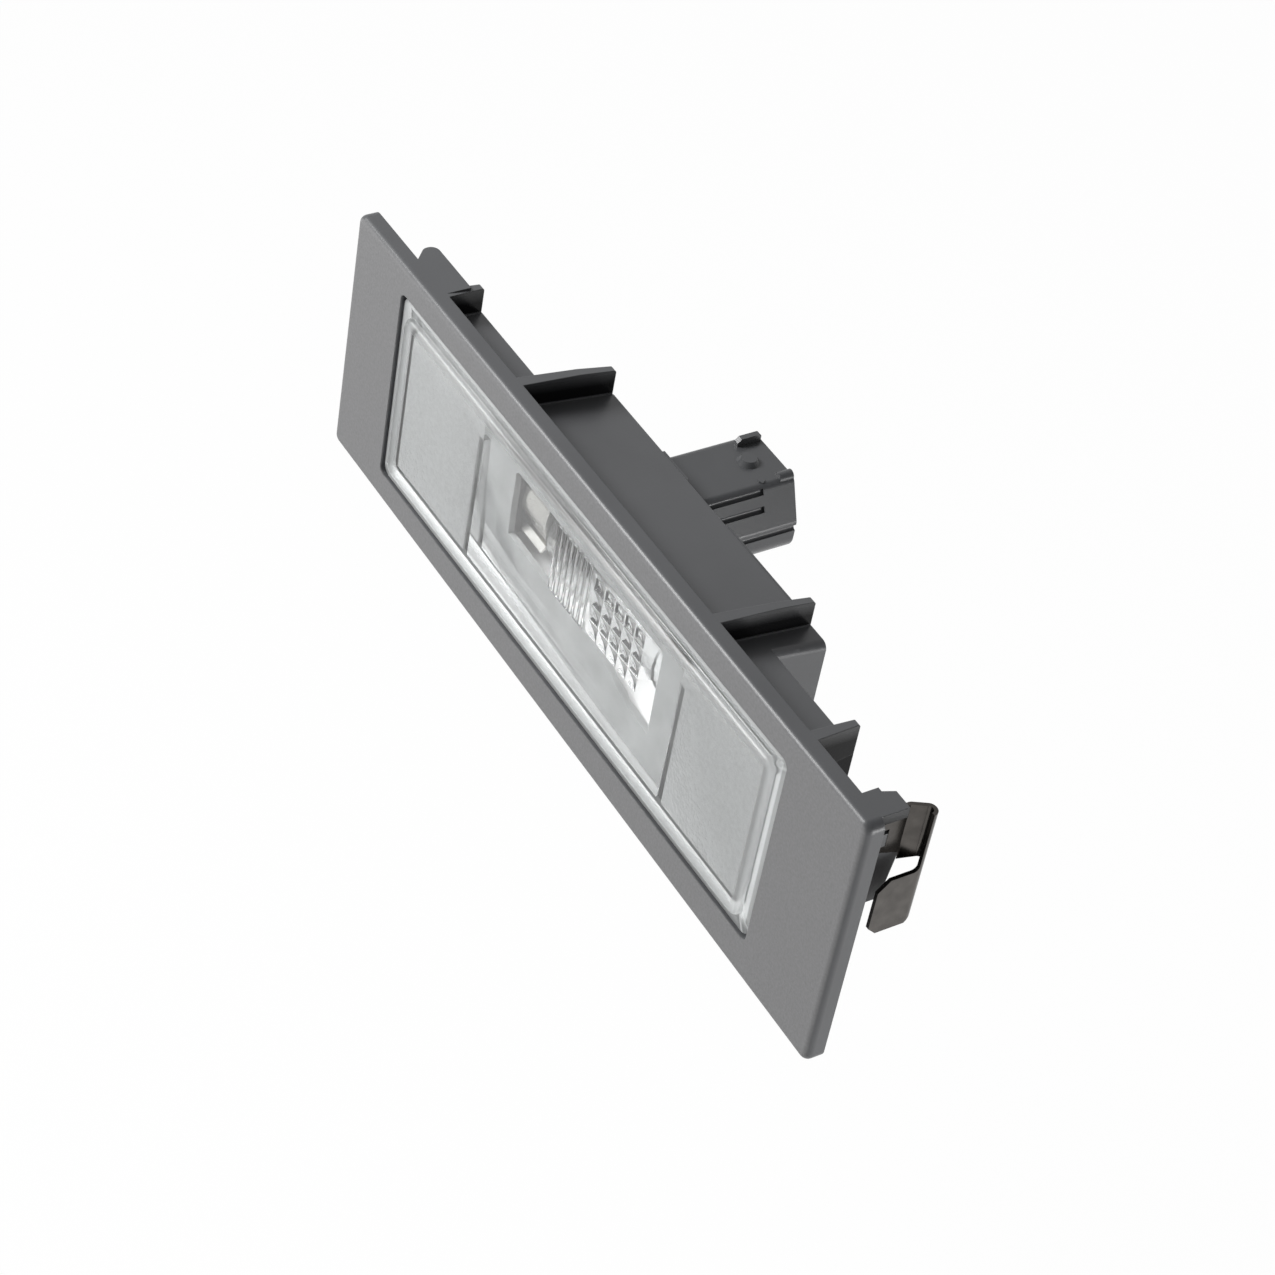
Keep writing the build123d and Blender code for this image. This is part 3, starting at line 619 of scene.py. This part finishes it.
@dataclass
class LampBody:
    """Everything carried over from the frame, dressed node by node."""

    finishes: Finishes

    def dress(self) -> None:
        """Gives every node of the frame its material."""
        for name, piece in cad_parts.items():
            if piece.hide_render:
                continue
            piece.data.materials.clear()
            piece.data.materials.append(self.finishes.made[NODE_SLOTS[name]])
            LOG.info("dressed %s", name)


@dataclass
class LensMoulding:
    """The lens, lifted a hair off its seat so that the two faces never share one plane."""

    finishes: Finishes
    lift_mm: float = 0.02
    seat_inset_mm: float = 2.4
    seat_mm: float = -0.6
    round_degrees: float = 28.0
    node: str = "lens"

    def build(self) -> None:
        """Copies the frame's lens, merges it and lifts its seat."""
        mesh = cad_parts[self.node].data.copy()
        mesh.name = "lens_moulding"
        low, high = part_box(self.node)
        form = bmesh.new()
        form.from_mesh(mesh)
        bmesh.ops.remove_doubles(form, verts=form.verts, dist=0.001 * MM)
        for vert in form.verts:
            inset = min(vert.co.x - low.x, high.x - vert.co.x, vert.co.z - low.z, high.z - vert.co.z)
            if inset < self.seat_inset_mm * MM and abs(vert.co.y - self.seat_mm * MM) < 0.01 * MM:
                vert.co.y -= self.lift_mm * MM
        form.to_mesh(mesh)
        form.free()
        mesh.shade_smooth()
        mesh.set_sharp_from_angle(angle=math.radians(self.round_degrees))
        mesh.materials.clear()
        mesh.materials.append(self.finishes.made[Slot.LENS])
        piece = bpy.data.objects.new("lens_moulding", mesh)
        bpy.context.collection.objects.link(piece)
        flat = piece.modifiers.new("flat_faces_stay_flat", "WEIGHTED_NORMAL")
        flat.keep_sharp = True
        flat.weight = 100
        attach(piece, "root")
        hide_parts(self.node)
        LOG.info("lens_moulding: %d faces", len(mesh.polygons))


@dataclass
class Filament:
    """Coiled wire between the bulb's two leads."""

    finishes: Finishes
    wire_mm: float = 0.11
    pitch_mm: float = 0.24
    steps_per_turn: int = 14
    sides: int = 6
    node: str = "bulb_filament"

    def coil_tree(self) -> bpy.types.NodeTree:
        """Builds the tree that winds the coil, with named inputs for its sizes.

        Returns:
            The geometry node tree.
        """
        tree = bpy.data.node_groups.new("wound_filament", "GeometryNodeTree")
        sockets = {"Length": "NodeSocketFloat", "Coil Radius": "NodeSocketFloat",
                   "Wire Radius": "NodeSocketFloat", "Turns": "NodeSocketFloat",
                   "Steps Per Turn": "NodeSocketInt", "Sides": "NodeSocketInt",
                   "Middle": "NodeSocketVector", "Finish": "NodeSocketMaterial"}
        for name, kind in sockets.items():
            tree.interface.new_socket(name=name, in_out="INPUT", socket_type=kind)
        tree.interface.new_socket(name="Geometry", in_out="OUTPUT", socket_type="NodeSocketGeometry")
        given = add_node(tree, "NodeGroupInput").outputs
        spiral = add_node(tree, "GeometryNodeCurveSpiral", inputs={
            "Resolution": given["Steps Per Turn"], "Rotations": given["Turns"],
            "Start Radius": given["Coil Radius"], "End Radius": given["Coil Radius"],
            "Height": given["Length"]})
        half = add_node(tree, "ShaderNodeMath", {"operation": "MULTIPLY"}, {0: given["Length"], 1: -0.5})
        shift = add_node(tree, "ShaderNodeCombineXYZ", inputs={"X": half.outputs[0]})
        start = add_node(tree, "ShaderNodeVectorMath", {"operation": "ADD"},
                         {0: shift.outputs[0], 1: given["Middle"]})
        laid = add_node(tree, "GeometryNodeTransform", inputs={
            "Geometry": spiral.outputs["Curve"], "Translation": start.outputs[0],
            "Rotation": (0.0, math.pi / 2, 0.0)})
        section = add_node(tree, "GeometryNodeCurvePrimitiveCircle", inputs={
            "Resolution": given["Sides"], "Radius": given["Wire Radius"]})
        wire = add_node(tree, "GeometryNodeCurveToMesh", inputs={
            "Curve": laid.outputs["Geometry"], "Profile Curve": section.outputs["Curve"],
            "Fill Caps": True})
        real = add_node(tree, "GeometryNodeRealizeInstances", inputs={"Geometry": wire.outputs["Mesh"]})
        dressed = add_node(tree, "GeometryNodeSetMaterial", inputs={
            "Geometry": real.outputs["Geometry"], "Material": given["Finish"]})
        add_node(tree, "NodeGroupOutput", inputs={"Geometry": dressed.outputs["Geometry"]})
        return tree

    def build(self) -> None:
        """Winds the coil inside the frame's filament and puts it in its place."""
        low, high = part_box(self.node)
        length = high.x - low.x
        tree = self.coil_tree()
        values = {"Length": length - self.wire_mm * MM,
                  "Coil Radius": (high.z - low.z - self.wire_mm * MM) / 2,
                  "Wire Radius": self.wire_mm * MM / 2,
                  "Turns": length / (self.pitch_mm * MM),
                  "Steps Per Turn": self.steps_per_turn, "Sides": self.sides,
                  "Middle": (low + high) / 2, "Finish": self.finishes.made[Slot.WIRE]}
        winder = bpy.data.objects.new("filament_winder", bpy.data.meshes.new("filament_winder"))
        bpy.context.collection.objects.link(winder)
        modifier = winder.modifiers.new("winding", "NODES")
        modifier.node_group = tree
        for item in tree.interface.items_tree:
            if item.in_out == "INPUT":
                modifier[item.identifier] = values[item.name]
        wound = winder.evaluated_get(bpy.context.evaluated_depsgraph_get())
        mesh = bpy.data.meshes.new_from_object(wound)
        winder.modifiers.remove(modifier)
        bpy.data.objects.remove(winder)
        coil = bpy.data.objects.new("filament_coil", mesh)
        bpy.context.collection.objects.link(coil)
        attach(coil, "root")
        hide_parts(self.node)
        LOG.info("filament_coil: %d faces", len(mesh.polygons))


@dataclass
class Studio:
    """Pale floor, soft surroundings that are dark on one side, a soft key lamp and the camera."""

    camera_mm: tuple[float, float, float] = (199.94, -152.39, 222.56)
    right: tuple[float, float, float] = (0.51009, 0.84804, 0.14364)
    up: tuple[float, float, float] = (-0.63276, 0.25686, 0.73051)
    focal_pixels: float = 3467.0
    sensor_mm: float = 36.0
    floor_drop_mm: float = 120.0
    floor_side_mm: float = 4000.0
    floor_tone: str = "#f6f6f6"
    floor_glow: float = 0.97
    bright: float = 0.65
    dark: float = 0.1
    dark_way: tuple[float, float, float] = (0.5, 0.1, 0.86)
    dark_from: float = 0.45
    dark_to: float = 0.85
    key_at: tuple[float, float, float] = (-0.15, -0.15, 0.2)
    key_side: float = 0.1
    key_watts: float = 0.8
    fill_at: tuple[float, float, float] = (0.3, 0.12, -0.08)
    fill_side: float = 0.12
    fill_watts: float = 0.5

    def place_camera(self) -> None:
        """Puts the camera where the photograph was taken from."""
        right = Vector(self.right).normalized()
        up = (Vector(self.up) - right * right.dot(Vector(self.up))).normalized()
        data = bpy.data.cameras.new("photo_camera")
        data.sensor_width = self.sensor_mm
        data.sensor_fit = "HORIZONTAL"
        data.lens = self.focal_pixels / PHOTO_SIDE * self.sensor_mm
        data.clip_start = 0.01
        camera = bpy.data.objects.new("photo_camera", data)
        turn = Matrix((right, up, right.cross(up))).transposed().to_4x4()
        camera.matrix_world = Matrix.Translation(Vector(self.camera_mm) * MM) @ turn
        bpy.context.collection.objects.link(camera)
        bpy.context.scene.camera = camera

    def hang_lamp(self, name: str, place: tuple[float, float, float], side: float, watts: float) -> None:
        """Hangs a square lamp that looks at the object.

        Args:
            name: Name of the lamp.
            place: Where it hangs, in metres.
            side: Length of its side in metres.
            watts: Its power.
        """
        data = bpy.data.lights.new(name, "AREA")
        data.shape = "SQUARE"
        data.size = side
        data.energy = watts
        lamp = bpy.data.objects.new(name, data)
        aim = Vector(place).to_track_quat("Z", "Y").to_matrix().to_4x4()
        lamp.matrix_world = Matrix.Translation(Vector(place)) @ aim
        bpy.context.collection.objects.link(lamp)

    def surroundings(self) -> None:
        """White to the camera, and light that fades towards the dark side elsewhere."""
        world = bpy.data.worlds.new("studio")
        bpy.context.scene.world = world
        world.use_nodes = True
        tree = world.node_tree
        tree.nodes.clear()
        way = add_node(tree, "ShaderNodeTexCoord").outputs["Generated"]
        towards = add_node(tree, "ShaderNodeVectorMath", {"operation": "DOT_PRODUCT"},
                           {0: way, 1: Vector(self.dark_way).normalized()})
        level = add_node(tree, "ShaderNodeMapRange", {"interpolation_type": "SMOOTHSTEP"}, {
            "Value": towards.outputs["Value"], "From Min": self.dark_from, "From Max": self.dark_to,
            "To Min": self.bright, "To Max": self.dark})
        path = add_node(tree, "ShaderNodeLightPath")
        seen = path.outputs["Is Camera Ray"]
        light = add_node(tree, "ShaderNodeBackground", inputs={
            "Color": (1, 1, 1, 1), "Strength": level.outputs["Result"]})
        white = add_node(tree, "ShaderNodeBackground", inputs={"Color": (1, 1, 1, 1), "Strength": 1.0})
        mix = add_node(tree, "ShaderNodeMixShader", inputs={
            0: seen, 1: light.outputs[0], 2: white.outputs[0]})
        add_node(tree, "ShaderNodeOutputWorld", inputs={"Surface": mix.outputs[0]})

    def floor(self) -> None:
        """Lays the pale floor below the lamp."""
        half = self.floor_side_mm / 2 * MM
        level = -self.floor_drop_mm * MM
        mesh = bpy.data.meshes.new("floor")
        corners = [(-half, -half, level), (half, -half, level), (half, half, level), (-half, half, level)]
        mesh.from_pydata(corners, [], [(0, 1, 2, 3)])
        floor = bpy.data.objects.new("floor", mesh)
        bpy.context.collection.objects.link(floor)
        material = bpy.data.materials.new("floor_paper_white")
        material.use_nodes = True
        tree = material.node_tree
        tree.nodes.clear()
        path = add_node(tree, "ShaderNodeLightPath")
        seen = add_node(tree, "ShaderNodeMath", {"operation": "MAXIMUM"},
                        {0: path.outputs["Is Camera Ray"], 1: path.outputs["Is Glossy Ray"]})
        seen = add_node(tree, "ShaderNodeMath", {"operation": "MAXIMUM"},
                        {0: seen.outputs[0], 1: path.outputs["Is Transmission Ray"]})
        paper = add_node(tree, "ShaderNodeBsdfDiffuse", inputs={"Color": linear(self.floor_tone)})
        glow = add_node(tree, "ShaderNodeEmission", inputs={"Color": (1, 1, 1, 1), "Strength": 1.0})
        share = add_node(tree, "ShaderNodeMath", {"operation": "MULTIPLY"},
                         {0: seen.outputs[0], 1: self.floor_glow})
        mix = add_node(tree, "ShaderNodeMixShader", inputs={
            0: share.outputs[0], 1: paper.outputs[0], 2: glow.outputs[0]})
        add_node(tree, "ShaderNodeOutputMaterial", inputs={"Surface": mix.outputs[0]})
        mesh.materials.append(material)

    def build(self) -> None:
        """Sets the whole studio up."""
        self.place_camera()
        self.surroundings()
        self.floor()
        self.hang_lamp("key_over_hook_end", self.key_at, self.key_side, self.key_watts)
        self.hang_lamp("fill_low_by_clip_end", self.fill_at, self.fill_side, self.fill_watts)
        bpy.context.scene.view_settings.view_transform = "Standard"


def main() -> None:
    """Builds the lamp and its studio."""
    logging.basicConfig(level=logging.INFO, format="%(message)s")
    finishes = Finishes()
    finishes.build()
    LensMoulding(finishes).build()
    Filament(finishes).build()
    LampBody(finishes).dress()
    Studio().build()


if __name__ == "__main__":
    main()
